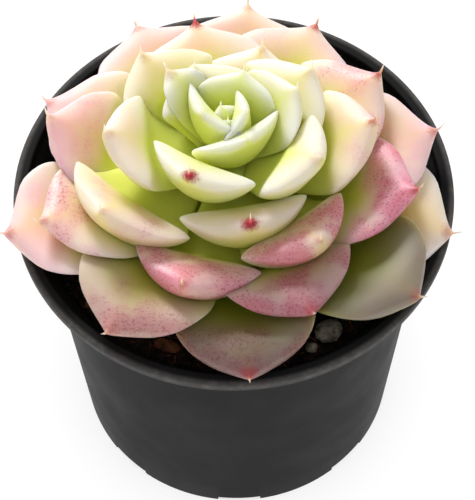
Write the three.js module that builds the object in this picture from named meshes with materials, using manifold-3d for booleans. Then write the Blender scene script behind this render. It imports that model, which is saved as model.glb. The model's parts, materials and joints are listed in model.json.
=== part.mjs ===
// Potted succulent: a thick-leaved rosette growing in a round plastic nursery pot.
// Millimetres, +Z up. The origin is the centre of the pot's flat underside.

import * as THREE from 'three';
import { mergeVertices } from 'three/addons/utils/BufferGeometryUtils.js';
import Module from 'manifold-3d';

const wasm = await Module();
wasm.setup();

// ---------------------------------------------------------------- driving dimensions

const CLEARANCE = 0.3; // gap kept between pieces that touch or rest on each other

// Pot
const POT_HEIGHT = 87;
const RIM_RADIUS = 52.5; // outermost edge of the rolled lip
const BASE_RADIUS = 40.5;
const BASE_BEVEL = 0.6;
const WALL = 1.6;
const FLOOR = 2.4;
const LIP_HEIGHT = 2.6;
const LIP_ROUNDING = 0.7;
const LIP_TOP_WIDTH = 3.2; // flat ring on top of the lip
const LIP_OVERHANG = 1.7; // lip beyond the collar below it
const COLLAR_HEIGHT = 8; // flared stretch between the straight body and the lip
const COLLAR_FLARE = 4.7; // how far the collar leans out over its height
const POT_SIDES = 56;

// Drainage: channels under the floor run out to notches in the bottom edge
const DRAIN_COUNT = 8;
const DRAIN_WIDTH = 11;
const DRAIN_DEPTH = 1.9;
const DRAIN_INNER_RADIUS = 22; // the middle of the underside stays flat inside this
const DRAIN_HOLE_RADIUS = 3;
const DRAIN_HOLE_PITCH = 28; // radius of the circle of holes
const DRAIN_TURN = -90; // degrees, azimuth of the first channel
const DRAIN_HOLE_SIDES = 12;

// Soil
const SOIL_DROP = 9; // soil surface below the rim, at the pot wall
const SOIL_MOUND = 1.5; // rise of the surface towards the stem
const SOIL_SIDES = 40;

// Stem
const STEM_RADIUS = 6; // at the soil
const STEM_TOP_RADIUS = 2.4;
const STEM_DEPTH = 26; // how far the foot of the stem is under the rim
const STEM_TOP = 17; // top of the stem above the rim
const STEM_SIDES = 16;

// Rosette: leaves are counted from the heart outwards along the growth spiral
const ROSETTE_OFFSET = -1; // the stem stands this far off the pot's axis, along X
const STEM_LEAN = 4; // the top of the stem leans this far towards +Y
const DIVERGENCE = -137.5; // degrees from each leaf to the next older one
const HEART_AZIMUTH = 262; // degrees, direction of the youngest leaf
const SPIRAL_COUNT = 38; // leaf number whose tip would lie on the widest circle
const TIP_REACH = 55; // widest circle of leaf tips, from the stem's axis
const REACH_GROWTH = 1.2; // how slowly the tips spread near the heart
const TIP_LOW = 3.5; // tips of the oldest leaves above the rim
const TIP_DOME = 28.5; // youngest tips above the oldest
const DOME_FALL = 1.6; // how soon the tips drop away from the heart
const LEAF_WIDTH = 33; // oldest leaves
const LEAF_WIDTH_FALL = 0.35; // how the width shrinks towards the heart
const LEAF_THICKNESS = 8; // oldest leaves
const LEAF_ROOT_LOW = -6; // oldest leaf root on the stem, from the rim
const LEAF_ROOT_CLIMB = 21; // youngest root above the oldest
const ROOT_INSET = 1.5; // leaf axis starts this far outside the stem's axis
const TIP_SPINE = 2; // length of the short spine that ends every leaf

// Leaf form, shared by all leaves
const WIDEST_AT = 0.7; // share of the leaf's length
const NECK_WIDTH = 0.42; // share of the full width at the root
const UPPER_SHARE = 0.24; // thickness above the leaf's axis surface
const BELLY_AT = 0.62; // where the midrib sags most, as a share of its length
const MARGIN_CUP = 0.34; // margin lifted above the midrib, per half width
const AROUND = 10;
const ALONG = 8;

// Leaves in order from the heart: turn off the spiral (degrees), reach and rise off the
// dome (mm), how steeply the tip turns up from the line root to tip (degrees), and a share
// of the usual width where a leaf is narrow for its age.
const LEAVES = [
  { turn: 8, reach: 1, rise: -3, lift: 12 },
  { turn: 0, reach: 0, rise: -3, lift: 14 },
  { turn: 0, reach: 0, rise: 0, lift: 16 },
  { turn: -20, reach: 0, rise: 0, lift: 20 },
  { turn: 0, reach: 5.5, rise: -1.5, lift: 24 },
  { turn: 4, reach: -1.5, rise: 0, lift: 36 },
  { turn: -19, reach: 8, rise: 0, lift: 26, width: 0.56 },
  { turn: 5, reach: 4, rise: 0, lift: 30 },
  { turn: 0, reach: 2.5, rise: 0, lift: 44 },
  { turn: 12, reach: -1.5, rise: -2, lift: 40 },
  { turn: 3, reach: 3.5, rise: 0, lift: 42 },
  { turn: -4, reach: 6, rise: 0, lift: 46 },
  { turn: -13, reach: 1.5, rise: -2, lift: 44 },
  { turn: 6, reach: -1, rise: -2, lift: 54 },
  { turn: -4, reach: 1.5, rise: 0, lift: 46 },
  { turn: 4, reach: 4, rise: 0, lift: 50 },
  { turn: -7, reach: 3.5, rise: 0, lift: 54 },
  { turn: -11, reach: -3.5, rise: -4, lift: 50 },
  { turn: -1, reach: -1, rise: 0, lift: 52 },
  { turn: -2, reach: 6.5, rise: -1, lift: 52 },
  { turn: -2, reach: 4, rise: -2, lift: 46 },
  { turn: -1, reach: -2, rise: 0, lift: 52 },
  { turn: -16, reach: -2, rise: -2, lift: 48 },
  { turn: 7, reach: 1, rise: 0, lift: 54 },
  { turn: -1, reach: 2, rise: 0, lift: 48, width: 0.92 },
  { turn: -3, reach: 0, rise: -2, lift: 46 },
  { turn: 7, reach: -2.5, rise: 0, lift: 46 },
  { turn: 5, reach: 0, rise: -2, lift: 46 },
  { turn: -1, reach: 1, rise: 0, lift: 46 },
  { turn: 3, reach: 2, rise: 1.5, lift: 42 },
  { turn: -13, reach: 0, rise: -2, lift: 42 },
  { turn: 1, reach: 3.5, rise: 1.5, lift: 38 },
  { turn: 14, reach: 2, rise: 0, lift: 34 },
  null, // this leaf has been shed
  { turn: 7, reach: 0, rise: 0, lift: 30 },
  { turn: -14, reach: -2, rise: -1, lift: 30 },
  { turn: -8, reach: 0, rise: -1, lift: 26 },
];

// Loose pieces on the soil: direction from the pot's axis, distance from the wall to the
// middle of the piece, half sizes, and how far it is turned.
const CHIPS = [
  { name: 'stone_chip_large', azimuth: -58.5, fromWall: 3.8, size: [3.8, 3, 2], turn: 31 },
  { name: 'stone_chip_small', azimuth: -66, fromWall: 2.2, size: [1.8, 1.5, 1.2], turn: 26 },
  { name: 'bark_chip_left', azimuth: 218, fromWall: 4.6, size: [4.4, 2, 1.1], turn: 30 },
  { name: 'bark_chip_front', azimuth: 247, fromWall: 4, size: [3.6, 1.7, 1], turn: -20 },
  { name: 'bark_chip_back', azimuth: 30, fromWall: 5.4, size: [4, 2.2, 1.2], turn: 75 },
];

// ---------------------------------------------------------------- solids and materials

const rad = THREE.MathUtils.degToRad;

function toSolid(geometry) {
  const bare = geometry.clone();
  bare.deleteAttribute('normal');
  bare.deleteAttribute('uv');
  const merged = mergeVertices(bare, 1e-5);
  return new wasm.Manifold(new wasm.Mesh({
    numProp: 3,
    vertProperties: new Float32Array(merged.attributes.position.array),
    triVerts: new Uint32Array(merged.index.array),
  }));
}

function toGeometry(solid) {
  const mesh = solid.getMesh();
  const geometry = new THREE.BufferGeometry();
  geometry.setAttribute('position', new THREE.BufferAttribute(mesh.vertProperties, 3));
  geometry.setIndex(new THREE.BufferAttribute(mesh.triVerts, 1));
  geometry.computeVertexNormals();
  return geometry;
}

// The biggest body of a cut piece; slivers left by the cut are dropped.
function mainBody(solid) {
  const bodies = solid.decompose();
  return bodies.reduce((best, body) => (body.volume() > best.volume() ? body : best));
}

function plastic(colour) {
  return new THREE.MeshStandardMaterial({ color: colour, roughness: 0.55, metalness: 0 });
}

function matte(colour) {
  return new THREE.MeshStandardMaterial({ color: colour, roughness: 0.95, metalness: 0 });
}

function waxy(colour) {
  return new THREE.MeshStandardMaterial({ color: colour, roughness: 0.5, metalness: 0 });
}

// ---------------------------------------------------------------- pot

// Outer radius of the straight body, where the collar begins.
const SHOULDER_RADIUS = RIM_RADIUS - LIP_OVERHANG - COLLAR_FLARE;
const SHOULDER_HEIGHT = POT_HEIGHT - LIP_HEIGHT - COLLAR_HEIGHT;

function collarCurve(inset) {
  const start = new THREE.Vector2(SHOULDER_RADIUS - inset, SHOULDER_HEIGHT);
  const end = new THREE.Vector2(RIM_RADIUS - LIP_OVERHANG - inset, POT_HEIGHT - LIP_HEIGHT);
  const bend = new THREE.Vector2(start.x + 0.25 * COLLAR_FLARE, start.y + 0.75 * COLLAR_HEIGHT);
  return new THREE.QuadraticBezierCurve(start, bend, end).getPoints(4);
}

function bodyRadius(height) {
  return THREE.MathUtils.mapLinear(height, 0, SHOULDER_HEIGHT, BASE_RADIUS, SHOULDER_RADIUS);
}

function potProfile() {
  const top = POT_HEIGHT;
  const under = POT_HEIGHT - LIP_HEIGHT;
  return [
    new THREE.Vector2(0, 0),
    new THREE.Vector2(BASE_RADIUS - BASE_BEVEL, 0),
    new THREE.Vector2(bodyRadius(BASE_BEVEL), BASE_BEVEL),
    ...collarCurve(0),
    new THREE.Vector2(RIM_RADIUS - LIP_ROUNDING, under),
    new THREE.Vector2(RIM_RADIUS, under + LIP_ROUNDING),
    new THREE.Vector2(RIM_RADIUS, top - LIP_ROUNDING),
    new THREE.Vector2(RIM_RADIUS - LIP_ROUNDING, top),
    new THREE.Vector2(RIM_RADIUS - LIP_TOP_WIDTH, top),
    ...collarCurve(WALL).reverse(),
    new THREE.Vector2(bodyRadius(FLOOR) - WALL, FLOOR),
    new THREE.Vector2(0, FLOOR),
  ];
}

function drainChannel() {
  const length = RIM_RADIUS - DRAIN_INNER_RADIUS;
  const channel = new THREE.BoxGeometry(length, DRAIN_WIDTH, 2 * DRAIN_DEPTH);
  channel.translate(DRAIN_INNER_RADIUS + length / 2, 0, 0);
  return toSolid(channel);
}

function drainHole() {
  const hole = new THREE.CylinderGeometry(
    DRAIN_HOLE_RADIUS, DRAIN_HOLE_RADIUS, 4 * FLOOR, DRAIN_HOLE_SIDES);
  hole.rotateX(Math.PI / 2);
  hole.translate(DRAIN_HOLE_PITCH, 0, 0);
  return toSolid(hole);
}

function potSolid() {
  const blank = new THREE.LatheGeometry(potProfile(), POT_SIDES);
  blank.rotateX(Math.PI / 2);
  let pot = toSolid(blank);
  for (let i = 0; i < DRAIN_COUNT; i += 1) {
    const turn = DRAIN_TURN + (i * 360) / DRAIN_COUNT;
    pot = pot.subtract(drainChannel().rotate([0, 0, turn]));
    pot = pot.subtract(drainHole().rotate([0, 0, turn]));
  }
  return pot;
}

// ---------------------------------------------------------------- stem and soil

// How far the stem has leaned over at a height above the rim.
function stemLean(height) {
  return STEM_LEAN * Math.max((height - LEAF_ROOT_LOW) / LEAF_ROOT_CLIMB, 0);
}

function stemSolid(swell) {
  const foot = -STEM_DEPTH - swell;
  const top = STEM_TOP + swell;
  const profile = [
    new THREE.Vector2(0, foot),
    new THREE.Vector2(STEM_RADIUS + swell, foot),
    new THREE.Vector2(STEM_RADIUS + swell, LEAF_ROOT_LOW),
    new THREE.Vector2(STEM_TOP_RADIUS + swell, top),
    new THREE.Vector2(0, top),
  ];
  const stem = new THREE.LatheGeometry(profile, STEM_SIDES);
  stem.rotateX(Math.PI / 2);
  const place = stem.attributes.position;
  for (let i = 0; i < place.count; i += 1) {
    place.setY(i, place.getY(i) + stemLean(place.getZ(i)));
  }
  return toSolid(stem);
}

const SOIL_TOP = POT_HEIGHT - SOIL_DROP;

function soilHeight(radius) {
  const share = radius / bodyRadius(SOIL_TOP);
  return SOIL_TOP + SOIL_MOUND * Math.cos(share * Math.PI / 2);
}

function innerRadius(height) {
  if (height <= SHOULDER_HEIGHT) {
    return bodyRadius(height) - WALL;
  }
  const curve = collarCurve(WALL);
  const next = curve.findIndex((point) => point.y >= height);
  const share = (height - curve[next - 1].y) / (curve[next].y - curve[next - 1].y);
  return THREE.MathUtils.lerp(curve[next - 1].x, curve[next].x, share);
}

function soilBlank() {
  const floor = FLOOR + CLEARANCE;
  const shoulder = Math.min(SHOULDER_HEIGHT, SOIL_TOP - CLEARANCE);
  const edge = innerRadius(SOIL_TOP) - CLEARANCE;
  const rings = [0.85, 0.65, 0.45, 0.25];
  const profile = [
    new THREE.Vector2(0, floor),
    new THREE.Vector2(innerRadius(floor) - CLEARANCE, floor),
    new THREE.Vector2(innerRadius(shoulder) - CLEARANCE, shoulder),
    new THREE.Vector2(edge, SOIL_TOP),
    ...rings.map((share) => new THREE.Vector2(share * edge, soilHeight(share * edge))),
    new THREE.Vector2(0, soilHeight(0)),
  ];
  const soil = new THREE.LatheGeometry(profile, SOIL_SIDES);
  soil.rotateX(Math.PI / 2);
  return toSolid(soil);
}

// ---------------------------------------------------------------- leaves

// A leaf's place in the rosette, worked out from its number and its own small differences.
function leafPlan(number) {
  const own = LEAVES[number];
  const dome = rad(90) * ((number + 1) / (SPIRAL_COUNT + 1));
  const age = number / LEAVES.length;
  const size = Math.sin(dome) ** LEAF_WIDTH_FALL;
  const rootHeight = LEAF_ROOT_LOW + LEAF_ROOT_CLIMB * (1 - age);
  return {
    azimuth: rad(HEART_AZIMUTH + DIVERGENCE * number + own.turn),
    root: new THREE.Vector2(ROOT_INSET, rootHeight),
    lean: stemLean(rootHeight),
    tip: new THREE.Vector2(
      TIP_REACH * Math.sin(dome) ** REACH_GROWTH + own.reach,
      TIP_LOW + TIP_DOME * Math.cos(dome) ** DOME_FALL + own.rise,
    ),
    lift: rad(own.lift),
    halfWidth: (LEAF_WIDTH / 2) * size * (own.width ?? 1),
    thickness: LEAF_THICKNESS * size,
  };
}

// The leaf's midrib is a bow in its upright plane that turns up most near the tip.
function midribCurve(leaf) {
  const { root, tip } = leaf;
  const chord = tip.clone().sub(root);
  const sag = new THREE.Vector2(chord.y, -chord.x);
  const belly = root.clone().addScaledVector(chord, BELLY_AT);
  belly.addScaledVector(sag, (1 - BELLY_AT) * Math.tan(leaf.lift));
  return new THREE.QuadraticBezierCurve(root, belly, tip);
}

// Half width as a share of the fullest: a neck that opens out, then a rounded point.
function outline(share) {
  if (share < WIDEST_AT) {
    return NECK_WIDTH + (1 - NECK_WIDTH) * Math.sin((share / WIDEST_AT) * Math.PI / 2) ** 1.4;
  }
  const past = (share - WIDEST_AT) / (1 - WIDEST_AT);
  return (1 - past ** 2.2) ** 0.62;
}

// Thickness as a share of the fullest.
function fullness(share) {
  return (0.6 + 0.4 * Math.sin(Math.PI * share)) * (1 - share ** 8) ** 0.7;
}

// A unit sphere drawn out into a leaf: its poles become the root and the spine.
function leafSolid(leaf, swell) {
  const curve = midribCurve(leaf);
  const bladeEnd = 1 - (TIP_SPINE - swell) / curve.getLength();
  const ball = new THREE.SphereGeometry(1, AROUND, ALONG);
  const place = ball.attributes.position;
  const point = new THREE.Vector3();
  for (let i = 0; i < place.count; i += 1) {
    point.fromBufferAttribute(place, i);
    const share = THREE.MathUtils.clamp((1 - point.y) / 2, 0, 1);
    const round = Math.hypot(point.x, point.z);
    const across = round > 1e-6 ? point.x / round : 0;
    const above = round > 1e-6 ? point.z / round : 0;
    const end = round > 1e-6 ? 1 : 0;
    const along = end || share < 0.5 ? share * bladeEnd : 1;
    const rib = curve.getPoint(along);
    const slope = curve.getTangent(along);
    const half = (leaf.halfWidth * outline(share) + swell) * end;
    const side = above > 0 ? UPPER_SHARE : 1 - UPPER_SHARE;
    const depth = (leaf.thickness * fullness(share) * side + swell) * end;
    const lift = MARGIN_CUP * half * across ** 2 + depth * above;
    place.setXYZ(i, rib.x - slope.y * lift, half * across, rib.y + slope.x * lift);
  }
  const turned = toSolid(ball).rotate([0, 0, THREE.MathUtils.radToDeg(leaf.azimuth)]);
  return turned.translate([0, leaf.lean, 0]);
}

// The space that the lip and the collar take up, with the clearance round them.
function rimKeepOut() {
  const top = POT_HEIGHT + CLEARANCE;
  const outer = RIM_RADIUS + CLEARANCE;
  const inside = collarCurve(WALL + CLEARANCE);
  const profile = [
    inside[0],
    new THREE.Vector2(outer, SHOULDER_HEIGHT),
    new THREE.Vector2(outer, top),
    new THREE.Vector2(RIM_RADIUS - LIP_TOP_WIDTH - CLEARANCE, top),
    ...inside.reverse(),
  ];
  const ring = new THREE.LatheGeometry(profile, POT_SIDES);
  ring.rotateX(Math.PI / 2);
  return toSolid(ring);
}

// Younger leaves keep their full form; each older leaf is trimmed where they press on it.
function leafSolids(keepOut) {
  const plans = LEAVES.map((own, number) => (own ? leafPlan(number) : null));
  const swollen = plans.map((leaf) => (leaf ? leafSolid(leaf, CLEARANCE) : null));
  return plans.map((leaf, number) => {
    if (!leaf) {
      return null;
    }
    const younger = swollen.slice(0, number).filter((solid) => solid);
    const cutter = wasm.Manifold.union([...younger, ...keepOut]);
    return mainBody(leafSolid(leaf, 0).subtract(cutter));
  });
}

// ---------------------------------------------------------------- loose chips

function chipGeometry(chip) {
  const stone = new THREE.IcosahedronGeometry(1, 1);
  stone.scale(...chip.size);
  stone.rotateZ(rad(chip.turn));
  return toGeometry(toSolid(stone));
}

// ---------------------------------------------------------------- assembly

const plant = new THREE.Group();

function addMesh(parent, name, geometry, material) {
  const mesh = new THREE.Mesh(geometry, material);
  mesh.name = name;
  parent.add(mesh);
  return mesh;
}

const rosettePlace = [ROSETTE_OFFSET, 0, POT_HEIGHT];
const soilBody = soilBlank();
const soilWithHole = soilBody.subtract(stemSolid(CLEARANCE).translate(rosettePlace));
addMesh(plant, 'pot', toGeometry(potSolid()), plastic(0x2f2f30));
addMesh(plant, 'soil', toGeometry(soilWithHole), matte(0x1c130f));

for (const chip of CHIPS) {
  const colour = chip.name.startsWith('stone') ? 0x8d8a86 : 0x4a2c1c;
  const mesh = addMesh(plant, chip.name, chipGeometry(chip), matte(colour));
  const azimuth = rad(chip.azimuth);
  const radius = innerRadius(SOIL_TOP) - chip.fromWall;
  mesh.position.set(
    radius * Math.cos(azimuth),
    radius * Math.sin(azimuth),
    soilHeight(radius) + chip.size[2] + CLEARANCE,
  );
}

const rosette = new THREE.Group();
rosette.position.set(...rosettePlace);
plant.add(rosette);
addMesh(rosette, 'stem', toGeometry(stemSolid(0)), matte(0x8a8f5a));

// What the leaves keep clear of, moved into the rosette's own frame.
const around = [rimKeepOut(), soilBody.translate([0, 0, CLEARANCE])];
const intoRosette = rosettePlace.map((shift) => -shift);
const keepOut = [stemSolid(CLEARANCE), ...around.map((solid) => solid.translate(intoRosette))];
leafSolids(keepOut).forEach((solid, number) => {
  if (solid) {
    const name = `leaf_${String(number + 1).padStart(2, '0')}`;
    addMesh(rosette, name, toGeometry(solid), waxy(0xdfe0a8));
  }
});

export default plant;
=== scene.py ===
"""A potted succulent: a rosette of thick, pointed leaves in a round black nursery pot.

Everything is in metres, +Z up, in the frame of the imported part. Each piece of the plant and
its pot stands for one node of that part and takes its place from the node's own mesh.
"""

import json
import math

import bmesh
import bpy
import numpy as np
from mathutils import Matrix, Vector, noise
from mathutils.bvhtree import BVHTree

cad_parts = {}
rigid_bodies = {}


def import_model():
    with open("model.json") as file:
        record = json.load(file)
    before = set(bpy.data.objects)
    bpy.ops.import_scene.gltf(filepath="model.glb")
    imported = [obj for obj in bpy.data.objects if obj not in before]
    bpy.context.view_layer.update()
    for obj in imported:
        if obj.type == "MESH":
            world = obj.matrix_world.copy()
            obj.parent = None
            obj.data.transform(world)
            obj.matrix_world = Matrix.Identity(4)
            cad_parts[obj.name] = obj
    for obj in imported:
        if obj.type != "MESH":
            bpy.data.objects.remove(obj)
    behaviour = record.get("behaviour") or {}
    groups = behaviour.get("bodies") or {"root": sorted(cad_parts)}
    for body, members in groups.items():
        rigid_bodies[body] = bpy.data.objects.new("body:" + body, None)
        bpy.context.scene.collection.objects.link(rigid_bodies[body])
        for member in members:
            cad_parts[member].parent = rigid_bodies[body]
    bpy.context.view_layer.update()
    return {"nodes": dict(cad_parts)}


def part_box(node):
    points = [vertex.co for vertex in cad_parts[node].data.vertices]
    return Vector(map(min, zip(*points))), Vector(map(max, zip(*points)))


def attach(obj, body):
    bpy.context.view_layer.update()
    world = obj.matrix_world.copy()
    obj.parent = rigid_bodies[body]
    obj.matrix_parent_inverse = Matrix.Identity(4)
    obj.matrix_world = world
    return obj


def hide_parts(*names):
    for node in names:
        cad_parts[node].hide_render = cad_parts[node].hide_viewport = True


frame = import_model()
MM = 0.001
UP = Vector((0, 0, 1))

# ------------------------------------------------------------------ sizes, in metres

pot_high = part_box("pot")[1]
RIM_HEIGHT = pot_high.z
RIM_RADIUS = pot_high.x
BASE_RADIUS = 40.5 * MM
WALL = 1.6 * MM
FLOOR = 2.4 * MM
LIP_HEIGHT = 2.6 * MM
LIP_TOP_WIDTH = 3.2 * MM
LIP_OVERHANG = 1.7 * MM
COLLAR_HEIGHT = 8 * MM
COLLAR_FLARE = 4.7 * MM
FOOT_ROUNDING = 0.6 * MM
LIP_ROUNDING = 0.6 * MM
FLOOR_ROUNDING = 1.5 * MM
POT_SIDES = 160
CHANNEL_WIDTH = 11 * MM
CHANNEL_DEPTH = 1.9 * MM
CHANNEL_START = 22 * MM  # how near the axis the drainage channels begin
CHANNEL_COUNT = 8
HOLE_RADIUS = 3 * MM
HOLE_PITCH = 28 * MM  # from the axis to a drainage hole

soil_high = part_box("soil")[1]
SOIL_GAP = 0.3 * MM  # between soil and pot
SOIL_SIDES = 144
SOIL_RINGS = 46
SOIL_SINK = 1.6 * MM  # the soil's edge below the top of its node
MOUND_HEIGHT = 1.2 * MM
LUMP_HEIGHT = 0.7 * MM
CRUMBS_FROM = 24 * MM  # crumbs lie only outside this radius, where the soil shows

stem_low, stem_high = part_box("stem")
STEM_X = (stem_low.x + stem_high.x) / 2
STEM_LEAN = 4 * MM
ROOT_LOW = RIM_HEIGHT - 6 * MM  # where the oldest leaf leaves the stem
ROOT_CLIMB = 21 * MM  # the youngest leaf's root above that
ROOT_INSET = 1.5 * MM  # how far from the stem's axis a leaf begins
SPIRAL_COUNT = 38  # a leaf with the number after this one would be the largest
LEAF_COUNT = 37
LEAF_WIDTH = 33 * MM
LEAF_THICKNESS = 8 * MM
LEAF_SIZE_FALL = 0.35  # how quickly leaves get smaller towards the heart
BELLY_AT = 0.62  # where the midrib hangs lowest, as a share of the way to the tip
TIP_SPINE = 3 * MM  # length of the point beyond the blade
SPINE_RADIUS = 0.3 * MM
NECK_WIDTH = 0.42  # the narrowest part, as a share of the leaf's width
MARGIN_CUP = 0.3
MARGIN_EDGE = 1.4  # 1 gives a fully round margin, more a sharper one
UNEVENNESS = 1.1 * MM
POKE_DEPTH = 0.8 * MM  # a leaf may sink this far into a younger one's upper face
PRESSED_INTO = 3 * MM  # no point is pressed deeper under that face than half this
LEAF_REST = 0.3 * MM  # between a leaf and what it lies on
LEAF_BODY = 0.9 * MM  # what is kept of a leaf's thickness where it is lifted
LIP_REACH = 6.5 * MM  # a lying leaf starts to rise to the lip this far inside its edge
LIP_RISE = 3 * MM  # and has risen over this distance
STEM_CLEAR = 14 * MM  # leaves aren't lifted this near the stem
LEAF_SEGMENTS = 56
LEAF_RINGS = 48

# Every leaf, from the heart outwards: how steeply its tip turns up (degrees), its width as
# a share of the usual, then how much pink, how much speckled red and how red its point is.
LEAVES = {
    1: (12, 1, 0, 0, 0),
    2: (14, 0.78, 0, 0, 0),
    3: (16, 1, 0, 0, 0),
    4: (20, 1.2, 0, 0, 0.1),
    5: (24, 1, 0, 0, 0.05),
    6: (36, 1.14, 0, 0, 0.05),
    7: (26, 0.56, 0.05, 0, 0.35),
    8: (40, 1, 0.1, 0, 0.05),
    9: (54, 1.14, 0.1, 0, 1),
    10: (50, 1, 0.05, 0, 0.05),
    11: (52, 1, 0.15, 0, 0.25),
    12: (56, 1, 0.25, 0.05, 0.25),
    13: (54, 1, 0.1, 0, 0.2),
    14: (64, 1.12, 0.15, 0.1, 1.13),
    15: (56, 1, 0.15, 0, 0.3),
    16: (60, 1, 0.3, 0.25, 0.9),
    17: (64, 1.2, 0.3, 0.3, 0.4),
    18: (60, 1, 0.2, 0, 0.3),
    19: (62, 1, 0.45, 1, 0.5),
    20: (62, 1, 0.75, 0.25, 0.4),
    21: (56, 1, 0.5, 0.5, 0.9),
    22: (62, 1, 0.7, 0.9, 0.7),
    23: (48, 1, 0.4, 0.1, 1),
    24: (54, 1, 1, 0.9, 0.8),
    25: (48, 0.92, 0.5, 0.5, 0.5),
    26: (46, 1, 0.5, 0.2, 0.9),
    27: (46, 1, 0.8, 0.9, 0.5),
    28: (46, 1, 0.75, 0.1, 0.4),
    29: (46, 1, 0.7, 0.15, 0.6),
    30: (42, 1, 0.45, 0.6, 0.3),
    31: (42, 1, 0.5, 0.1, 0.4),
    32: (38, 1, 0.2, 0.1, 0.4),
    33: (34, 1, 0.7, 0.1, 0.5),
    35: (30, 1, 0.4, 0.7, 0.6),
    36: (30, 1, 0.6, 0.1, 0.5),
    37: (26, 1, 0.3, 0.05, 0.5),
}

# The rosette's rings, from the heart outwards: the last leaf of the ring, its thickness as a
# share of the usual, how far its tips reach out and up beyond the node's own (mm), how much of
# the thickness lies above the midrib, and how much the end swells (mm).
RINGS = (
    (8, 1.15, (0, 0), 0.42, 3.2),
    (22, 1.5, (0.3, 2.6), 0.5, 4.6),
    (30, 1.15, (1.8, 1.6), 0.5, 4.6),
    (37, 1.15, (1.8, 1.6), 0.42, 3.2),
)
LOOSE_FROM = 10  # from this leaf outwards, a leaf gives way to the younger ones on it
LYING_FROM = 25  # from this leaf outwards, a leaf lies over the soil and the lip

# Leaves that point off the stem's centre line: how far the foot is moved aside, in mm.
TURNED = {4: (-1.6, 2.6), 17: (-7, 6.5)}

# How much painted shade each leaf in the rosette's shadow gets: its colour is multiplied darker,
# and greener towards the root.
PAINTED_SHADE_LEAVES = {14: 0.15, 19: 0.2, 22: 0.2, 24: 0.2, 27: 0.6, 30: 0.55, 32: 1, 35: 1}


# ------------------------------------------------------------------ node helpers

def add(tree, kind, inputs=None, **settings):
    """One node, with its settings and its inputs set or linked."""
    node = tree.nodes.new(kind)
    for name, value in settings.items():
        setattr(node, name, value)
    for key, value in (inputs or {}).items():
        if isinstance(value, bpy.types.NodeSocket):
            tree.links.new(value, node.inputs[key])
        else:
            node.inputs[key].default_value = value
    return node


def num(tree, operation, a, b=0.0):
    return add(tree, "ShaderNodeMath", {0: a, 1: b}, operation=operation).outputs[0]


def product(tree, first, *others):
    """All the values multiplied, from left to right."""
    for other in others:
        first = num(tree, "MULTIPLY", first, other)
    return first


def vec(tree, operation, a, b=(0, 0, 0)):
    node = add(tree, "ShaderNodeVectorMath", {0: a, 1: b}, operation=operation)
    return node.outputs["Value" if operation in ("LENGTH", "DISTANCE") else "Vector"]


def times(tree, vector, factor):
    node = add(tree, "ShaderNodeVectorMath", {0: vector, "Scale": factor}, operation="SCALE")
    return node.outputs["Vector"]


def slide(tree, value, low, high, start=0.0, end=1.0):
    """A smooth step of value from start, at low, to end, at high."""
    limits = {"Value": value, "From Min": low, "From Max": high, "To Min": start, "To Max": end}
    node = add(tree, "ShaderNodeMapRange", limits, interpolation_type="SMOOTHSTEP")
    return node.outputs["Result"]


def between(tree, factor, a, b):
    """The vector that share of the way from a to b."""
    return vec(tree, "ADD", a, times(tree, vec(tree, "SUBTRACT", b, a), factor))


def tint(tree, factor, a, b, how="MIX"):
    """Colour a with colour b laid over it."""
    node = add(tree, "ShaderNodeMix", {0: factor, 6: a, 7: b}, data_type="RGBA", blend_type=how)
    return node.outputs[2]


def colour(red, green, blue):
    """A colour given as it looks on a screen, 0 to 255."""
    parts = (part / 255 for part in (red, green, blue))
    return tuple(p / 12.92 if p < 0.04 else ((p + 0.055) / 1.055) ** 2.4 for p in parts) + (1,)


def new_tree(name, sizes):
    """A geometry tree with named inputs; each size is a name and its socket type."""
    tree = bpy.data.node_groups.new(name, "GeometryNodeTree")
    tree.interface.new_socket("Geometry", in_out="INPUT", socket_type="NodeSocketGeometry")
    tree.interface.new_socket("Geometry", in_out="OUTPUT", socket_type="NodeSocketGeometry")
    for label, kind in sizes.items():
        tree.interface.new_socket(label, in_out="INPUT", socket_type="NodeSocket" + kind)
    return tree, add(tree, "NodeGroupInput").outputs


def close_tree(tree, geometry, material):
    real = add(tree, "GeometryNodeRealizeInstances", {0: geometry}).outputs[0]
    smooth = add(tree, "GeometryNodeSetShadeSmooth", {0: real}).outputs[0]
    finished = add(tree, "GeometryNodeSetMaterial", {0: smooth, "Material": material})
    tree.links.new(finished.outputs[0], add(tree, "NodeGroupOutput").inputs[0])


def set_inputs(modifier, values):
    """Sets a geometry tree's inputs by their names."""
    names = {
        item.name: item.identifier
        for item in modifier.node_group.interface.items_tree
        if item.in_out == "INPUT"
    }
    for name, value in values.items():
        modifier[names[name]] = value


def new_piece(name, mesh=None):
    piece = bpy.data.objects.new(name, mesh or bpy.data.meshes.new(name))
    bpy.context.scene.collection.objects.link(piece)
    return piece


def shaped_by(piece, tree, values):
    modifier = piece.modifiers.new("form", "NODES")
    modifier.node_group = tree
    set_inputs(modifier, values)
    return piece


def bake(pieces):
    """Turns what the modifiers make into plain meshes."""
    depsgraph = bpy.context.evaluated_depsgraph_get()
    made = [bpy.data.meshes.new_from_object(piece.evaluated_get(depsgraph)) for piece in pieces]
    for piece, mesh in zip(pieces, made):
        piece.modifiers.clear()
        piece.data = mesh
        mesh.name = piece.name


def points_of(mesh):
    points = np.empty(len(mesh.vertices) * 3)
    mesh.vertices.foreach_get("co", points)
    return points.reshape(-1, 3)


def move_points(mesh, points):
    mesh.vertices.foreach_set("co", points.reshape(-1))
    mesh.update()


# ------------------------------------------------------------------ materials

def material(name, **values):
    made = bpy.data.materials.new(name)
    made.use_nodes = True
    shader = made.node_tree.nodes["Principled BSDF"]
    for key, value in values.items():
        shader.inputs[key.replace("_", " ").title().replace("Ior", "IOR")].default_value = value
    return made, made.node_tree, shader


def own_place(tree):
    return add(tree, "ShaderNodeTexCoord").outputs["Object"]


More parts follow.
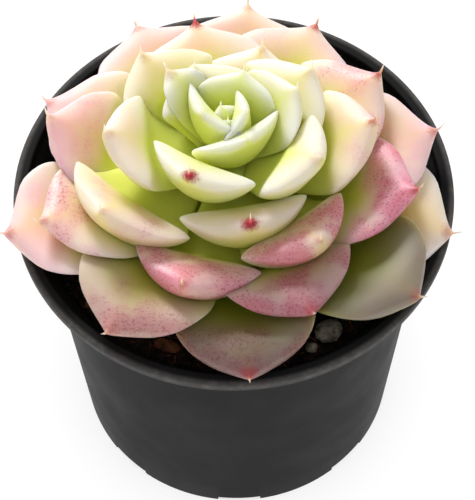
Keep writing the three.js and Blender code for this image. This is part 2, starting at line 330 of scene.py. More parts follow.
def grain(tree, scale, detail=2.0, roughness=0.5):
    """A noise between 0 and 1 over the object's own coordinates."""
    place = own_place(tree)
    inputs = {"Vector": place, "Scale": scale, "Detail": detail, "Roughness": roughness}
    return add(tree, "ShaderNodeTexNoise", inputs).outputs[0]


def bump(tree, shader, height, distance, strength=1.0):
    inputs = {"Height": height, "Distance": distance, "Strength": strength}
    tree.links.new(add(tree, "ShaderNodeBump", inputs).outputs[0], shader.inputs["Normal"])


# The leaves' colours; where there are two, the first is the young leaves' and the second the
# old ones', or the first is at the root and the second at the end.
LIME = colour(222, 232, 124), colour(220, 218, 70)
CREAM = colour(224, 234, 188), colour(238, 226, 172)
BLOOM = colour(246, 242, 232)
ROSE = colour(246, 178, 202)
SCORCHED = colour(226, 110, 138)
SPECKLED = colour(160, 46, 62)
# painted shade, multiplied over the leaves under the rosette: greener at the root, grey towards the
# end
PAINTED_SHADE_TINT = colour(138, 150, 78), colour(146, 146, 146)
POINT_RED = colour(152, 30, 50)
DRY_SPINE = colour(186, 150, 146)


def leaf_skin():
    made, tree, shader = material(
        "leaf skin", subsurface_weight=0.8, subsurface_scale=8 * MM,
        subsurface_radius=(1.0, 0.9, 0.5), specular_ior_level=0.42)

    def trait(name):
        return add(tree, "ShaderNodeAttribute", attribute_name=name).outputs["Fac"]

    along, age, pink = trait("along"), trait("age"), trait("pink")
    edge = num(tree, "ABSOLUTE", trait("across"))
    under = slide(tree, trait("above"), 0.25, -0.25)
    from_tip = trait("from_tip")
    cloud = grain(tree, 90, 3)
    fine = grain(tree, 1500, 4, 0.8)

    # flesh: lime at the root, cream towards the tip, greener in the heart
    lime = tint(tree, age, *LIME)
    cream = tint(tree, slide(tree, age, 0.05, 0.5), *CREAM)
    reach = num(tree, "ADD", along, product(tree, num(tree, "SUBTRACT", cloud, 0.5), 0.3))
    reach = num(tree, "SUBTRACT", reach, product(tree, under, 0.2))
    reach = num(tree, "ADD", reach, product(tree, num(tree, "SUBTRACT", edge, 0.5), 0.34))
    flesh = tint(tree, slide(tree, reach, 0.44, 0.95), lime, cream)
    # bloom: a white, waxy film that thickens to the margin
    film = product(tree, slide(tree, edge, 0.1, 1.0), slide(tree, along, 0.3, 0.9),
                   slide(tree, cloud, 0.2, 0.7, 0.3, 0.7))
    flesh = tint(tree, film, flesh, BLOOM)
    # pink towards the tip and the margins
    spread = slide(tree, num(tree, "ADD", along, product(tree, cloud, 0.3)), 0.72, 1.15)
    margin = product(tree, num(tree, "POWER", edge, 2.5), slide(tree, along, 0.45, 0.9))
    spread = num(tree, "MAXIMUM", spread, margin)
    spread = num(tree, "MAXIMUM", spread, slide(tree, from_tip, 13 * MM, 4 * MM, 0, 0.6))
    rosy = tint(tree, product(tree, spread, pink), flesh, ROSE)
    # sun scorch: a red, speckled patch behind the tip
    patch = product(tree, slide(tree, along, 0.62, 0.86), slide(tree, cloud, 0.36, 0.6),
                    trait("scorch"))
    burnt = tint(tree, product(tree, patch, 0.7), rosy, SCORCHED)
    speck = product(tree, slide(tree, fine, 0.52, 0.62), slide(tree, patch, 0.05, 0.5), 0.6)
    burnt = tint(tree, speck, burnt, SPECKLED)
    # painted shade: the leaves that lie in the rosette's shadow are multiplied darker, and greener
    # at the root
    painted_shade_colour = tint(tree, slide(tree, along, 0.5, 0.95), *PAINTED_SHADE_TINT)
    burnt = tint(tree, trait("painted_shade"), burnt, painted_shade_colour, how="MULTIPLY")
    # the point: a dab of red round the spine, larger where the trait is over 1
    dab = num(tree, "ADD", from_tip, product(tree, fine, 3 * MM))
    dab = num(tree, "DIVIDE", dab, num(tree, "MAXIMUM", trait("point"), 1.0))
    dab = product(tree, slide(tree, dab, 7.3 * MM, 5.2 * MM), trait("point"))
    tipped = tint(tree, dab, burnt, POINT_RED)
    dry = slide(tree, from_tip, 2.8 * MM, 1.6 * MM, 0, 0.7)
    tree.links.new(tint(tree, dry, tipped, DRY_SPINE), shader.inputs["Base Color"])
    # the scorched skin is glossier
    tree.links.new(slide(tree, patch, 0, 0.7, 0.46, 0.3), shader.inputs["Roughness"])
    bump(tree, shader, fine, 0.2 * MM, 0.35)
    return made


def pot_plastic():
    made, tree, shader = material("black nursery plastic", specular_ior_level=0.05)
    cloud = grain(tree, 60, 4, 0.6)
    shade = tint(tree, cloud, colour(24, 24, 25), colour(30, 30, 31))
    across, deep, height = add(tree, "ShaderNodeSeparateXYZ", {0: own_place(tree)}).outputs
    radius = num(tree, "SQRT", num(
        tree, "ADD", product(tree, across, across), product(tree, deep, deep)))
    # painted highlight: the outer edge of the lip is painted paler, in uneven streaks, where it
    # catches the light
    lip_highlight_mask = product(tree, slide(tree, height, RIM_HEIGHT - 3 * MM, RIM_HEIGHT - 1.2 * MM),
                  slide(tree, radius, RIM_RADIUS - 1.8 * MM, RIM_RADIUS - 0.4 * MM))
    painted_highlight = tint(tree, slide(tree, grain(tree, 400, 5, 0.7), 0.4, 0.8),
                colour(78, 76, 75), colour(104, 102, 100))
    shade = tint(tree, lip_highlight_mask, shade, painted_highlight)
    tree.links.new(shade, shader.inputs["Base Color"])
    tree.links.new(slide(tree, cloud, 0.2, 0.8, 0.44, 0.56), shader.inputs["Roughness"])
    bump(tree, shader, grain(tree, 1500, 2), 0.05 * MM, 0.4)
    return made


def soil_earth():
    made, tree, shader = material("potting soil", roughness=0.95, specular_ior_level=0.25)
    shade = tint(tree, slide(tree, grain(tree, 500, 4), 0.4, 0.7), colour(20, 15, 13),
                 colour(58, 40, 31))
    tree.links.new(shade, shader.inputs["Base Color"])
    bump(tree, shader, grain(tree, 1800, 4), 0.4 * MM)
    return made


def plain_grained(name, dark, light, scale, roughness=0.85):
    """A dull, grainy material; the scale is that of its grain."""
    made, tree, shader = material(name, roughness=roughness, specular_ior_level=0.3)
    shade = tint(tree, slide(tree, grain(tree, scale, 5, 0.65), 0.35, 0.65), dark, light)
    tree.links.new(shade, shader.inputs["Base Color"])
    bump(tree, shader, grain(tree, scale * 3, 4), 0.3 * MM)
    return made


SKIN = leaf_skin()
PLASTIC = pot_plastic()
EARTH = soil_earth()
FIBRE = plain_grained("peat fibre", colour(70, 38, 24), colour(128, 76, 48), 700)
STONE = plain_grained("pale stone", colour(82, 70, 58), colour(166, 158, 146), 320, 0.7)
BARK = plain_grained("bark", colour(62, 34, 22), colour(122, 72, 44), 420)
STALK = plain_grained("stem skin", colour(140, 142, 88), colour(176, 178, 120), 300, 0.7)


# ------------------------------------------------------------------ leaves

POLE = 1e-4  # a point nearer a unit ball's axis than this is one of its poles


def leaf_tree():
    """A ball drawn out along a bowed midrib into one leaf: a neck, a spoon, a spine."""
    vectors = ("Root", "Belly", "Tip", "Stand")
    numbers = ("Half width", "Thickness", "Blade end", "Azimuth", "Seed", "Age", "Pink",
               "Scorch", "Point", "Painted shade", "Widest at", "Neck width", "Upper share", "Margin cup",
               "Margin edge", "End swell", "Unevenness")
    sizes = {**dict.fromkeys(vectors, "Vector"), **dict.fromkeys(numbers, "Float"),
             "Segments": "Int", "Rings": "Int"}
    tree, size = new_tree("Rosette leaf", sizes)
    ball = add(tree, "GeometryNodeMeshUVSphere",
               {"Segments": size["Segments"], "Rings": size["Rings"], "Radius": 1.0})
    place = add(tree, "GeometryNodeInputPosition").outputs[0]
    x, y, z = add(tree, "ShaderNodeSeparateXYZ", {0: place}).outputs
    share = product(tree, num(tree, "SUBTRACT", 1.0, z), 0.5)
    ring = num(tree, "SQRT", num(tree, "ADD", product(tree, x, x), product(tree, y, y)))
    body = num(tree, "GREATER_THAN", ring, POLE)
    ring = num(tree, "MAXIMUM", ring, POLE)
    across = product(tree, num(tree, "DIVIDE", x, ring), -1.0)
    above = num(tree, "DIVIDE", y, ring)

    geometry = ball.outputs["Mesh"]
    traits = {"along": share, "across": across, "above": above, "age": size["Age"],
              "pink": size["Pink"], "scorch": size["Scorch"], "point": size["Point"],
              "painted_shade": size["Painted shade"]}
    for name, value in traits.items():
        store = add(tree, "GeometryNodeStoreNamedAttribute",
                    {0: geometry, "Name": name, "Value": value}, data_type="FLOAT")
        geometry = store.outputs[0]

    # outline: a neck that opens out, then a rounded end that runs out to the point
    opening = num(tree, "MINIMUM", num(tree, "DIVIDE", share, size["Widest at"]), 1.0)
    opening = num(tree, "SINE", product(tree, opening, math.pi / 2))
    opening = product(tree, num(tree, "POWER", opening, 1.4),
                      num(tree, "SUBTRACT", 1.0, size["Neck width"]))
    opening = num(tree, "ADD", opening, size["Neck width"])
    past = num(tree, "DIVIDE", num(tree, "SUBTRACT", share, size["Widest at"]),
               num(tree, "SUBTRACT", 1.0, size["Widest at"]))
    past = num(tree, "MINIMUM", num(tree, "MAXIMUM", past, 0.0), 1.0)
    closing = num(tree, "SUBTRACT", 1.0, num(tree, "POWER", past, 2.3))
    closing = num(tree, "POWER", num(tree, "MAXIMUM", closing, 0.0), 0.75)
    drawn_in = slide(tree, past, 0.55, 1.0)
    straight = product(tree, num(tree, "SUBTRACT", 1.0, past), 0.7, drawn_in)
    closing = product(tree, closing, num(tree, "SUBTRACT", 1.0, drawn_in))
    closing = num(tree, "ADD", closing, straight)
    half = product(tree, opening, closing, body)

    # section: a shallow cup above, a full belly below, and a thick, round margin
    plump = num(tree, "DIVIDE", half, num(tree, "ADD", half, 0.16))
    half = num(tree, "MAXIMUM", product(tree, half, size["Half width"]), SPINE_RADIUS)
    half = product(tree, half, body)
    swell = num(tree, "SINE", product(tree, share, math.pi))
    swell = num(tree, "ADD", product(tree, swell, 0.4), 0.6)
    fade = product(tree, plump, 1.16)
    upper = num(tree, "GREATER_THAN", above, 0.0)
    lower_share = num(tree, "SUBTRACT", 1.0, size["Upper share"])
    more_above = num(tree, "SUBTRACT", size["Upper share"], lower_share)
    side = num(tree, "ADD", lower_share, product(tree, upper, more_above))
    depth = product(tree, swell, fade, size["Thickness"], side)
    depth = product(tree, num(tree, "MAXIMUM", depth, SPINE_RADIUS), body)
    cup = product(tree, half, size["Margin cup"], product(tree, across, across))
    cup = product(tree, cup, slide(tree, share, 0.7, 1.0, 1.0, 0.35))
    bulge = num(tree, "POWER", num(tree, "ABSOLUTE", above), size["Margin edge"])
    bulge = product(tree, bulge, num(tree, "SIGN", above))
    lift = num(tree, "ADD", cup, product(tree, depth, bulge))
    # the end swells over the point, which droops a little
    swelling = num(tree, "SINE", product(tree, num(tree, "POWER", share, 2.1), math.pi))
    lift = num(tree, "ADD", lift, product(tree, swelling, size["End swell"], body))

    # midrib: a bow through root, belly and tip
    at_tip = product(tree, num(tree, "SUBTRACT", 1.0, body),
                     num(tree, "GREATER_THAN", share, 0.5))
    spine = product(tree, at_tip, num(tree, "SUBTRACT", 1.0, size["Blade end"]))
    way = num(tree, "ADD", product(tree, share, size["Blade end"]), spine)
    root, belly, tip = size["Root"], size["Belly"], size["Tip"]
    first, last = between(tree, way, root, belly), between(tree, way, belly, tip)
    rib = between(tree, way, first, last)
    slope = vec(tree, "NORMALIZE", vec(tree, "SUBTRACT", last, first))
    slope_x, _, slope_z = add(tree, "ShaderNodeSeparateXYZ", {0: slope}).outputs
    outward = add(tree, "ShaderNodeCombineXYZ",
                  {0: product(tree, slope_z, -1.0), 2: slope_x}).outputs[0]
    aside = add(tree, "ShaderNodeCombineXYZ", {1: product(tree, half, across)}).outputs[0]
    target = vec(tree, "ADD", vec(tree, "ADD", rib, aside), times(tree, outward, lift))

    # no leaf is quite even
    shifted = vec(tree, "ADD", target, times(tree, (1.0, 1.7, 2.3), size["Seed"]))
    wobble = add(tree, "ShaderNodeTexNoise", {"Vector": shifted, "Scale": 55.0, "Detail": 1.0})
    wobble = vec(tree, "SUBTRACT", wobble.outputs["Color"], (0.5, 0.5, 0.5))
    room = product(tree, swell, fade, size["Unevenness"], body)
    target = vec(tree, "ADD", target, times(tree, wobble, room))

    moved = add(tree, "GeometryNodeSetPosition", {0: geometry, "Position": target}).outputs[0]
    gap = vec(tree, "DISTANCE", add(tree, "GeometryNodeInputPosition").outputs[0], tip)
    moved = add(tree, "GeometryNodeStoreNamedAttribute",
                {0: moved, "Name": "from_tip", "Value": gap}, data_type="FLOAT").outputs[0]
    turn = add(tree, "ShaderNodeCombineXYZ", {2: size["Azimuth"]}).outputs[0]
    stood = add(tree, "GeometryNodeTransform",
                {0: moved, "Translation": size["Stand"], "Rotation": turn}).outputs[0]
    close_tree(tree, stood, SKIN)
    return tree


def bow_length(root, belly, tip):
    """Length of the bow that the midrib follows."""
    steps = np.linspace(0, 1, 40)[:, None]
    path = (1 - steps) ** 2 * root + 2 * steps * (1 - steps) * belly + steps ** 2 * tip
    return np.linalg.norm(np.diff(path, axis=0), axis=1).sum()


def grow_leaf(number, tree):
    """Sets one leaf on the stem, with its tip at the node's own tip or a little beyond it."""
    turn_up, width, pink, scorch, point = LEAVES[number]
    thickness, (further, higher), upper_share, end_swell = next(
        traits for last, *traits in RINGS if number <= last)
    node = frame["nodes"][f"leaf_{number:02d}"]
    age = (number - 1) / LEAF_COUNT
    root_height = ROOT_LOW + ROOT_CLIMB * (1 - age)
    foot = np.array([STEM_X, STEM_LEAN * (1 - age), 0])
    foot[:2] += np.array(TURNED.get(number, (0, 0))) * MM
    reach = points_of(node.data) - foot
    root_point = np.array([0, 0, root_height])
    farthest = reach[np.argmax(np.linalg.norm(reach - root_point, axis=1))]
    root = np.array([ROOT_INSET, 0, root_height])
    tip = np.array([math.hypot(farthest[0], farthest[1]), 0, farthest[2]])
    tip += np.array([further, 0, higher]) * MM
    chord = tip - root
    # at the tip the midrib turns up this steeply from the straight line between its ends
    sag = (1 - BELLY_AT) * math.tan(math.radians(turn_up))
    belly = root + BELLY_AT * chord + sag * np.array([chord[2], 0, -chord[0]])
    dome = math.radians(90) * number / (SPIRAL_COUNT + 1)
    size = math.sin(dome) ** LEAF_SIZE_FALL
    widest = 0.52 + 0.16 * min(number / 10, 1)  # the heart's leaves taper from the middle
    piece = new_piece(f"succulent_leaf_{number:02d}")
    shaped_by(piece, tree, {
        "Root": root, "Belly": belly, "Tip": tip, "Stand": foot,
        "Azimuth": math.atan2(farthest[1], farthest[0]),
        "Half width": LEAF_WIDTH / 2 * size * width,
        "Thickness": LEAF_THICKNESS * size * thickness,
        "Blade end": 1 - TIP_SPINE / bow_length(root, belly, tip),
        "Widest at": widest, "Neck width": NECK_WIDTH,
        "Upper share": upper_share, "Margin cup": MARGIN_CUP, "Margin edge": MARGIN_EDGE,
        "End swell": end_swell * MM * size, "Unevenness": UNEVENNESS * size,
        "Seed": number * 0.37, "Age": age, "Pink": float(pink), "Scorch": float(scorch),
        "Point": float(point), "Painted shade": float(PAINTED_SHADE_LEAVES.get(number, 0)),
        "Segments": LEAF_SEGMENTS, "Rings": LEAF_RINGS,
    })
    return piece


def surface_tree(mesh):
    faces = [tuple(face.vertices) for face in mesh.polygons]
    return BVHTree.FromPolygons([vertex.co for vertex in mesh.vertices], faces)


def tuck_under(piece, younger):
    """Older leaves give way: what would come through a younger leaf is pressed into it."""
    points = points_of(piece.data)
    low, high = points.min(0), points.max(0)
    press = np.zeros(len(points))
    for other_low, other_high, tree in younger:
        if (low[:2] > other_high[:2]).any() or (high[:2] < other_low[:2]).any():
            continue
        covered = (points[:, :2] > other_low[:2]).all(1) & (points[:, :2] < other_high[:2]).all(1)
        for index in np.nonzero(covered)[0]:
            x, y, z = points[index]
            top = tree.ray_cast(Vector((x, y, other_high[2] + 10 * MM)), -UP)[0]
            if top is None or z < top.z - POKE_DEPTH:
                continue
            bottom = tree.ray_cast(Vector((x, y, other_low[2] - 10 * MM)), UP)[0]
            level = max(bottom.z, top.z - PRESSED_INTO) * 0.5 + top.z * 0.5
            press[index] = min(press[index], level - z)
    if not press.any():
        return
    ends = np.empty(len(piece.data.edges) * 2, dtype=int)
    piece.data.edges.foreach_get("vertices", ends)
    first, last = ends.reshape(-1, 2).T
    ties = np.bincount(ends, minlength=len(points))
    for _ in range(3):  # ease the dent into the leaf around it
        around = (np.bincount(first, press[last], len(points))
                  + np.bincount(last, press[first], len(points))) / ties
        press = np.minimum(press, around)
    points[:, 2] += press
    move_points(piece.data, points)


def lie_on_pot(piece):
    """Outer leaves lie over the soil and the lip, and don't sink into them."""
    points = points_of(piece.data)
    above = np.empty(len(points))
    piece.data.attributes["above"].data.foreach_get("value", above)
    radius = np.hypot(points[:, 0], points[:, 1])
    over_lip = np.clip((radius - (RIM_RADIUS - LIP_REACH)) / LIP_RISE, 0, 1)
    bed = soil_high.z + (RIM_HEIGHT - soil_high.z) * over_lip ** 0.5 + LEAF_REST
    bed += np.where(above > 0.02, LEAF_BODY, 0)
    near_stem = np.hypot(points[:, 0] - STEM_X, points[:, 1]) < STEM_CLEAR
    outside = radius > RIM_RADIUS + 1 * MM
    points[:, 2] = np.where(near_stem | outside, points[:, 2], np.maximum(points[:, 2], bed))
    move_points(piece.data, points)


def grow_rosette():
    tree = leaf_tree()
    leaves = {number: grow_leaf(number, tree) for number in LEAVES}
    bake(list(leaves.values()))
    younger = []
    for number, piece in leaves.items():
        if number >= LOOSE_FROM:
            tuck_under(piece, younger)
        if number >= LYING_FROM:
            lie_on_pot(piece)
        points = points_of(piece.data)
        younger.append((points.min(0), points.max(0), surface_tree(piece.data)))
    return leaves


# ------------------------------------------------------------------ pot

def lathe(name, profile, sides, material_used):
    """A closed solid turned about Z from a profile that starts and ends on the axis."""
    shell = bmesh.new()
    rings = []
    for radius, height in profile:
        if radius < 1e-6:
            rings.append([shell.verts.new((0, 0, height))])
            continue
        turns = (2 * math.pi * step / sides for step in range(sides))
        rings.append([shell.verts.new((radius * math.cos(t), radius * math.sin(t), height))
                      for t in turns])
    for lower, upper in zip(rings, rings[1:]):
        for step in range(sides):
            after = (step + 1) % sides
            corners = [lower[step % len(lower)], lower[after % len(lower)],
                       upper[after % len(upper)], upper[step % len(upper)]]
            face = shell.faces.new(list(dict.fromkeys(corners)))
            face.smooth = True
    mesh = bpy.data.meshes.new(name)
    shell.to_mesh(mesh)
    shell.free()
    mesh.materials.append(material_used)
    return new_piece(name, mesh)


def rounded(corners, radius):
    """A profile with each inner corner rounded off."""
    steps = 4
    path = [corners[0]]
    for before, corner, after in zip(corners, corners[1:], corners[2:]):
        here, back, on = Vector(corner), Vector(before), Vector(after)
        cut = min(radius, (back - here).length * 0.45, (on - here).length * 0.45)
        start, end = here + (back - here).normalized() * cut, here + (on - here).normalized() * cut
        for step in range(steps + 1):
            t = step / steps
            path.append(tuple((1 - t) ** 2 * start + 2 * t * (1 - t) * here + t * t * end))
    return path + [corners[-1]]


SHOULDER_HEIGHT = RIM_HEIGHT - LIP_HEIGHT - COLLAR_HEIGHT
SHOULDER_RADIUS = RIM_RADIUS - LIP_OVERHANG - COLLAR_FLARE


def wall_radius(height):
    """Radius of the pot's tapered outside."""
    return BASE_RADIUS + (SHOULDER_RADIUS - BASE_RADIUS) * height / SHOULDER_HEIGHT


def collar(inset):
    """Profile of the flare between the wall and the lip, moved inwards by the inset."""
    start = Vector((SHOULDER_RADIUS - inset, SHOULDER_HEIGHT))
    bend = start + Vector((0.25 * COLLAR_FLARE, 0.75 * COLLAR_HEIGHT))
    end = start + Vector((COLLAR_FLARE, COLLAR_HEIGHT))
    shares = (step / 8 for step in range(9))
    return [tuple((1 - t) ** 2 * start + 2 * t * (1 - t) * bend + t * t * end) for t in shares]


def pot_profile():
    under = RIM_HEIGHT - LIP_HEIGHT
    foot = rounded([(0, 0), (BASE_RADIUS, 0), (wall_radius(10 * MM), 10 * MM)], FOOT_ROUNDING)
    outside = [(wall_radius(h * MM), h * MM) for h in range(16, 76, 6)]
    inner = RIM_RADIUS - LIP_TOP_WIDTH
    lip = rounded([collar(0)[-2], collar(0)[-1], (RIM_RADIUS, under), (RIM_RADIUS, RIM_HEIGHT),
                   (inner, RIM_HEIGHT), collar(WALL)[-1], collar(WALL)[-2]], LIP_ROUNDING)
    inside = [(wall_radius(h * MM) - WALL, h * MM) for h in range(72, 6, -6)]
    floor = rounded([inside[-1], (wall_radius(FLOOR) - WALL, FLOOR), (0, FLOOR)],
                    FLOOR_ROUNDING)
    return foot + outside + collar(0)[:-2] + lip + collar(WALL)[-3::-1] + inside[:-1] + floor


def drain_tree():
    """Cuts channels across the underside and a hole through the floor in each."""
    numbers = ("Width", "Depth", "Inner radius", "Outer radius", "Hole radius", "Hole pitch",
               "Through", "First turn")
    sizes = {**dict.fromkeys(numbers, "Float"), "Count": "Int"}
    tree, size = new_tree("Drainage", sizes)
    length = num(tree, "SUBTRACT", size["Outer radius"], size["Inner radius"])
    height = product(tree, size["Depth"], 2.0)
    block = add(tree, "ShaderNodeCombineXYZ", {0: length, 1: size["Width"], 2: height}).outputs[0]
    bar = add(tree, "GeometryNodeMeshCube", {"Size": block}).outputs[0]
    middle = product(tree, num(tree, "ADD", size["Outer radius"], size["Inner radius"]), 0.5)
    out = add(tree, "ShaderNodeCombineXYZ", {0: middle}).outputs[0]
    bar = add(tree, "GeometryNodeTransform", {0: bar, "Translation": out}).outputs[0]
    drill = add(tree, "GeometryNodeMeshCylinder",
                {"Vertices": 24, "Radius": size["Hole radius"], "Depth": size["Through"]})
    out = add(tree, "ShaderNodeCombineXYZ", {0: size["Hole pitch"]}).outputs[0]
    drill = add(tree, "GeometryNodeTransform", {0: drill.outputs[0], "Translation": out}).outputs[0]
    spots = add(tree, "GeometryNodeMeshLine", {"Count": size["Count"], "Offset": (0, 0, 0)})
    index = add(tree, "GeometryNodeInputIndex").outputs[0]
    step = num(tree, "DIVIDE", 2 * math.pi, size["Count"])
    angle = num(tree, "ADD", product(tree, index, step), size["First turn"])
    turn = add(tree, "ShaderNodeCombineXYZ", {2: angle}).outputs[0]
    turn = add(tree, "FunctionNodeEulerToRotation", {0: turn}).outputs[0]
    cut = size["Geometry"]
    for tool in (bar, drill):
        copies = add(tree, "GeometryNodeInstanceOnPoints",
                     {"Points": spots.outputs[0], "Instance": tool, "Rotation": turn})
        real = add(tree, "GeometryNodeRealizeInstances", {0: copies.outputs[0]}).outputs[0]
        boolean = add(tree, "GeometryNodeMeshBoolean", {0: cut, 1: real},
                      operation="DIFFERENCE", solver="EXACT")
        cut = boolean.outputs[0]
    close_tree(tree, cut, PLASTIC)
    return tree


def mould_pot():
    pot = lathe("nursery_pot", pot_profile(), POT_SIDES, PLASTIC)
    shaped_by(pot, drain_tree(), {
        "Width": CHANNEL_WIDTH, "Depth": CHANNEL_DEPTH, "Inner radius": CHANNEL_START,
        "Outer radius": RIM_RADIUS, "Hole radius": HOLE_RADIUS, "Hole pitch": HOLE_PITCH,
        "Through": 4 * FLOOR, "First turn": math.radians(-90), "Count": CHANNEL_COUNT,
    })
    bake([pot])
    pot.data.set_sharp_from_angle(angle=math.radians(40))
    return pot


# ------------------------------------------------------------------ soil, stem, chips

def soil_surface(x, y):
    """Height of the soil, a low mound with a crumbly surface."""
    edge = soil_high.x
    mound = math.cos(min(math.hypot(x, y) / edge, 1) * math.pi / 2) * MOUND_HEIGHT
    lumps = noise.fractal(Vector((x, y, 0)) * 160, 1.0, 2.0, 3) * LUMP_HEIGHT
    return soil_high.z - SOIL_SINK + mound + lumps


def fill_soil():
    """A plug of soil that fills the pot, with its top drawn into fine rings."""
    edge = soil_high.x - 0.2 * MM
    low = FLOOR + SOIL_GAP
    profile = [(0, low), (wall_radius(low) - WALL - SOIL_GAP, low),
               (wall_radius(40 * MM) - WALL - SOIL_GAP, 40 * MM),
               (SHOULDER_RADIUS - WALL - SOIL_GAP, SHOULDER_HEIGHT)]
    top = [(edge * (1 - step / SOIL_RINGS), soil_high.z) for step in range(SOIL_RINGS)]
    soil = lathe("soil_bed", profile + top + [(0, soil_high.z)], SOIL_SIDES, EARTH)
    for vertex in soil.data.vertices:
        if vertex.co.z > soil_high.z - 0.1 * MM:
            vertex.co.z = soil_surface(vertex.co.x, vertex.co.y)
    return soil


FIBRE_CENTRE = (3.2, 2.3, -0.1)  # the middle of the arc that a fibre follows
SQUASHED = (0.6, 0.5, 0.4), (1.3, 1.0, 0.8)  # least and most stretch of a grain
GRAIN_TILT = 3.1  # grains lie any way up
FIBRE_TILT = 0.35  # fibres lie nearly flat
ANY_WAY = 3.14


def crumb_tree():
    """Scatters grains or fibres over the open ring of the soil."""
    sizes = {"Density": "Float", "Smallest": "Float", "Largest": "Float", "Seed": "Int",
             "Inner radius": "Float", "Fibres": "Bool", "Skin": "Material"}
    tree, size = new_tree("Crumbs", sizes)
    place = add(tree, "GeometryNodeInputPosition").outputs[0]
    level = vec(tree, "MULTIPLY", place, (1, 1, 0))
    outside = num(tree, "GREATER_THAN", vec(tree, "LENGTH", level), size["Inner radius"])
    normal = add(tree, "GeometryNodeInputNormal").outputs[0]
    up = add(tree, "ShaderNodeSeparateXYZ", {0: normal}).outputs[2]
    chosen = product(tree, outside, num(tree, "GREATER_THAN", up, 0.3))
    spread = add(tree, "GeometryNodeDistributePointsOnFaces",
                 {"Mesh": size["Geometry"], "Selection": chosen, "Density": size["Density"],
                  "Seed": size["Seed"]})
    grain_shape = add(tree, "GeometryNodeMeshIcoSphere", {"Radius": 0.5, "Subdivisions": 1})
    arc = add(tree, "GeometryNodeCurveArc", {"Resolution": 6, "Radius": 4.0, "Sweep Angle": 1.3})
    thread = add(tree, "GeometryNodeCurvePrimitiveCircle", {"Resolution": 4, "Radius": 0.16})
    fibre = add(tree, "GeometryNodeCurveToMesh",
                {"Curve": arc.outputs[0], "Profile Curve": thread.outputs[0], "Fill Caps": True})
    back = tuple(-middle for middle in FIBRE_CENTRE)
    centred = add(tree, "GeometryNodeTransform",
                  {0: fibre.outputs[0], "Translation": back}).outputs[0]
    shape = add(tree, "GeometryNodeSwitch",
                {"Switch": size["Fibres"], "False": grain_shape.outputs[0], "True": centred},
                input_type="GEOMETRY")
    any_size = add(tree, "FunctionNodeRandomValue",
                   {"Min": size["Smallest"], "Max": size["Largest"], "Seed": size["Seed"]},
                   data_type="FLOAT")
    squash = add(tree, "FunctionNodeRandomValue",
                 {"Min": SQUASHED[0], "Max": SQUASHED[1], "Seed": 7},
                 data_type="FLOAT_VECTOR")
    plain = add(tree, "GeometryNodeSwitch",
                {"Switch": size["Fibres"], "False": squash.outputs[0], "True": (1, 1, 1)},
                input_type="VECTOR")
    scale = times(tree, plain.outputs[0], any_size.outputs[1])
    tilt = add(tree, "GeometryNodeSwitch",
               {"Switch": size["Fibres"], "False": GRAIN_TILT, "True": FIBRE_TILT},
               input_type="FLOAT")
    reach = add(tree, "ShaderNodeCombineXYZ",
                {0: tilt.outputs[0], 1: tilt.outputs[0], 2: ANY_WAY}).outputs[0]
    turn = add(tree, "FunctionNodeRandomValue",
               {"Min": times(tree, reach, -1.0), "Max": reach, "Seed": 3},
               data_type="FLOAT_VECTOR")
    turn = add(tree, "FunctionNodeEulerToRotation", {0: turn.outputs[0]}).outputs[0]
    copies = add(tree, "GeometryNodeInstanceOnPoints",
                 {"Points": spread.outputs[0], "Instance": shape.outputs[0], "Rotation": turn,
                  "Scale": scale})
    close_tree(tree, copies.outputs[0], size["Skin"])
    return tree


def scatter(soil):
    """The grains of the soil and the peat fibres in it."""
    tree = crumb_tree()
    kinds = {  # how many to a square metre, smallest, largest, seed, fibres or grains, skin
        "soil_grains": (900000, 0.7 * MM, 1.9 * MM, 5, False, EARTH),
        "soil_fine_grains": (900000, 0.35 * MM, 0.9 * MM, 6, False, EARTH),
        "peat_fibres": (90000, 0.5 * MM, 1.3 * MM, 9, True, FIBRE),
    }
    pieces = []
    for name, (density, smallest, largest, seed, fibres, skin) in kinds.items():
        piece = new_piece(name, soil.data.copy())
        shaped_by(piece, tree, {
            "Density": float(density), "Smallest": smallest, "Largest": largest, "Seed": seed,
            "Inner radius": CRUMBS_FROM, "Fibres": fibres, "Skin": skin,
        })
        pieces.append(piece)
    bake(pieces)
    return pieces


def merged_copy(node, name):
    """The node's own shape, as one closed skin that can be worked on."""
    shell = bmesh.new()
    shell.from_mesh(frame["nodes"][node].data)
    bmesh.ops.remove_doubles(shell, verts=shell.verts, dist=1e-6)
    bmesh.ops.recalc_face_normals(shell, faces=shell.faces)
    mesh = bpy.data.meshes.new(name)
    shell.to_mesh(mesh)
    shell.free()
    for attribute in [a for a in mesh.attributes if a.name.startswith("custom_normal")]:
        mesh.attributes.remove(attribute)
    return new_piece(name, mesh)


def roughened(node, name, skin, size, amount):
    """A loose chip: the node's shape, cut fine and broken up."""
    piece = merged_copy(node, name)
    shell = bmesh.new()
    shell.from_mesh(piece.data)
    bmesh.ops.subdivide_edges(shell, edges=shell.edges, cuts=4, use_grid_fill=True)
    shell.normal_update()
    for vertex in shell.verts:
        near = noise.voronoi(vertex.co * size)[0]
        vertex.co += vertex.normal * amount * (near[0] - 0.6)
    for face in shell.faces:
        face.smooth = False
    shell.to_mesh(piece.data)
    shell.free()
    piece.data.materials.clear()
    piece.data.materials.append(skin)
    return piece


# ------------------------------------------------------------------ the whole plant

def belongs(piece, node):
    """Hands one piece over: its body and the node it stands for."""
    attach(piece, "root")
    if node:
        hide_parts(node)


for number, leaf in grow_rosette().items():
    belongs(leaf, f"leaf_{number:02d}")

belongs(mould_pot(), "pot")
soil_bed = fill_soil()
for piece in scatter(soil_bed):
    belongs(piece, None)
belongs(soil_bed, "soil")

stem = merged_copy("stem", "short_stem")
stem.data.materials.clear()
stem.data.materials.append(STALK)
for face in stem.data.polygons:
    face.use_smooth = True
belongs(stem, "stem")

for chip in ("stone_chip_large", "stone_chip_small"):
    belongs(roughened(chip, "broken_" + chip, STONE, 240, 0.9 * MM), chip)
for chip in ("bark_chip_left", "bark_chip_front", "bark_chip_back"):
    belongs(roughened(chip, "shred_of_" + chip, BARK, 700, 0.4 * MM), chip)


# ------------------------------------------------------------------ stage, light, camera

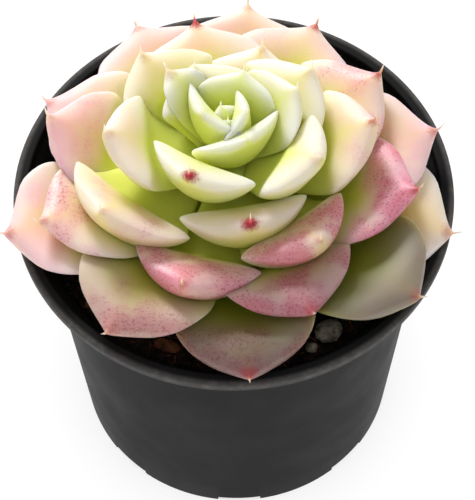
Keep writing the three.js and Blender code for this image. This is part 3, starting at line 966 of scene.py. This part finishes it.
def build_stage():
    mesh = bpy.data.meshes.new("studio_floor")
    half = 3.0
    mesh.from_pydata([(-half, -half, 0), (half, -half, 0), (half, half, 0), (-half, half, 0)],
                     [], [(0, 1, 2, 3)])
    floor = new_piece("studio_floor", mesh)
    paper, tree, shader = material("white paper floor", roughness=0.9)
    # the paper under the pot lies in its shade, as the drainage channels show
    radius = vec(tree, "LENGTH", own_place(tree))
    shaded = slide(tree, radius, BASE_RADIUS, BASE_RADIUS - 5 * MM)
    white, dark = (0.93, 0.93, 0.93, 1), (0.05, 0.05, 0.05, 1)
    tree.links.new(tint(tree, shaded, white, dark), shader.inputs["Base Color"])
    mesh.materials.append(paper)
    return floor


def softbox(name, place, aim, size, power, lit, shade=(1, 1, 1)):
    """A round lamp that lights only the pieces in lit."""
    light = bpy.data.lights.new(name, "AREA")
    light.shape = "DISK"
    light.size = size
    light.energy = power
    light.color = shade
    lamp = bpy.data.objects.new(name, light)
    lamp.location = place
    lamp.rotation_euler = (Vector(aim) - Vector(place)).to_track_quat("-Z", "Y").to_euler()
    bpy.context.scene.collection.objects.link(lamp)
    lamp.light_linking.receiver_collection = lit
    lamp.light_linking.blocker_collection = lit


def light_studio(floor):
    """An even white sky, with lamps that light either the plant or the ground, not both."""
    world = bpy.data.worlds.new("studio")
    world.use_nodes = True
    sky = world.node_tree.nodes["Background"].inputs
    sky["Color"].default_value = (1, 1, 1, 1)
    sky["Strength"].default_value = 0.6
    bpy.context.scene.world = world
    ground, plant = (bpy.data.collections.new(name) for name in ("lit ground", "lit plant"))
    ground.objects.link(floor)
    for piece in bpy.context.scene.collection.objects:
        if piece.type == "MESH" and piece is not floor:
            plant.objects.link(piece)
    top = (0, 0, RIM_HEIGHT)
    softbox("key behind", (-0.3, 0.8, 0.68), aim=top, size=0.35, power=10, lit=plant,
            shade=(1, 0.985, 0.96))
    softbox("strip on the pot", (-0.12, -0.75, 0.3), aim=(0, 0, 0.05), size=0.16, power=0.3,
            lit=plant)
    softbox("ground lamp", (0, 0, 2), aim=(0, 0, 0), size=1.5, power=30, lit=ground)
    bpy.context.scene.view_settings.view_transform = "Standard"


def set_camera():
    """Looks down into the rosette from in front, nearly at the middle of the rim."""
    elevation, distance = math.radians(57.1), 0.525  # as seen from the middle of the rim
    pitch, yaw, roll = math.radians(58.64), math.radians(0.14), math.radians(-0.93)
    data = bpy.data.cameras.new("camera")
    data.lens = 158.6
    data.sensor_width = 36
    data.clip_start = 0.05
    camera = bpy.data.objects.new("camera", data)
    place = Vector((0, -math.cos(elevation), math.sin(elevation))) * distance
    ahead = Vector((math.sin(yaw) * math.cos(pitch), math.cos(yaw) * math.cos(pitch),
                    -math.sin(pitch)))
    right = ahead.cross(UP).normalized()
    over = right.cross(ahead)
    tilted = right * math.cos(roll) + over * math.sin(roll)
    top = over * math.cos(roll) - right * math.sin(roll)
    turn = Matrix((tilted, top, -ahead)).transposed().to_4x4()
    camera.matrix_world = Matrix.Translation(place + UP * RIM_HEIGHT) @ turn
    bpy.context.scene.collection.objects.link(camera)
    bpy.context.scene.camera = camera


light_studio(build_stage())
set_camera()
